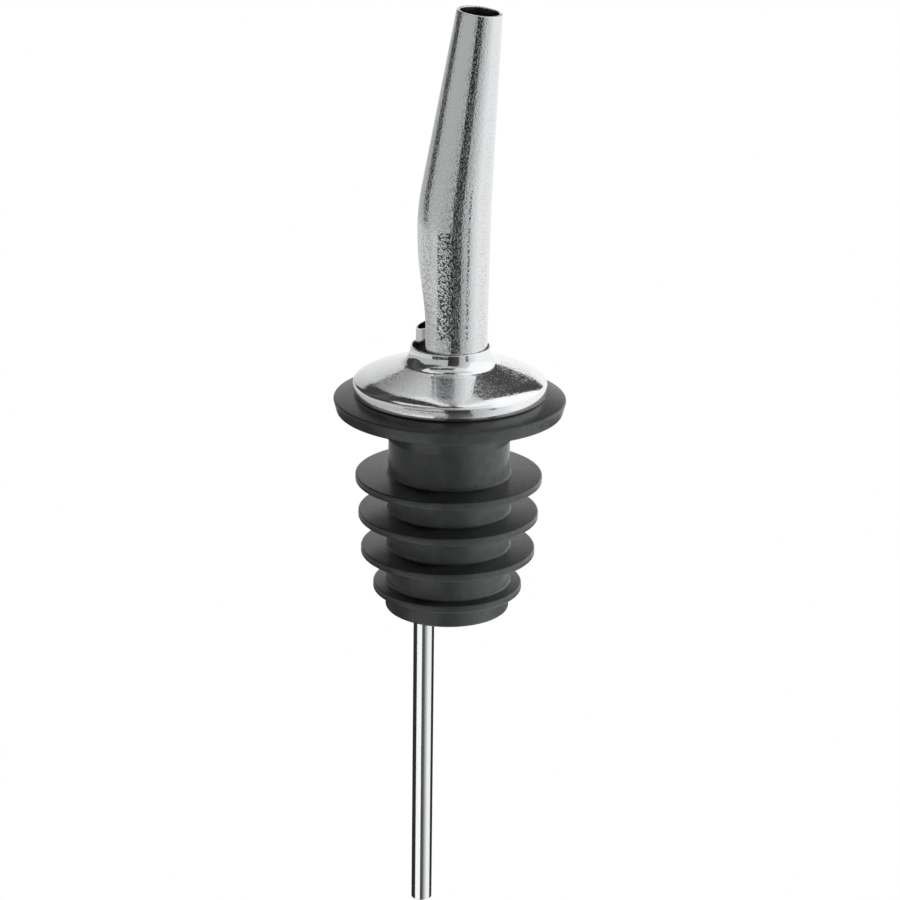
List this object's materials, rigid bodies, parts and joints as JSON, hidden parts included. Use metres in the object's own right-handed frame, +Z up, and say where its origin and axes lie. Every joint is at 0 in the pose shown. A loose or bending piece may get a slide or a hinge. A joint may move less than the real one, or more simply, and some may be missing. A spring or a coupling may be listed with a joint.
{
  "type": "liquor pourer",
  "caption": "Liquor pourer: a bent, tapered metal spout on a domed collar that swivels in a finned rubber stopper, with a long breather tube below.",
  "frame": {"origin": "centre of the flange's underside, which sits on the bottle's lip", "axes": "+Z up out of the bottle along the stopper's axis, +X the way the spout pours"},
  "size_m": [0.0294, 0.0294, 0.1206],
  "materials": {
    "stopper_rubber": "matte, moulded",
    "polished_steel": "drawn and polished",
    "chrome": "bright plating over a finely tumbled surface",
    "seal_rubber": "matte"
  },
  "bodies": {
    "stopper": {"stopper": "stopper_rubber"},
    "pourer": {"stem_tube": "polished_steel", "dome_collar": "chrome", "neck_seal": "seal_rubber", "pour_spout": "chrome", "breather_tube": "polished_steel"}
  },
  "joints": [
    {"name": "spout_swivel", "type": "hinge", "parent": "stopper", "child": "pourer", "pos_m": [0, 0, 0], "axis": [0, 0, 1], "continuous": true}
  ]
}
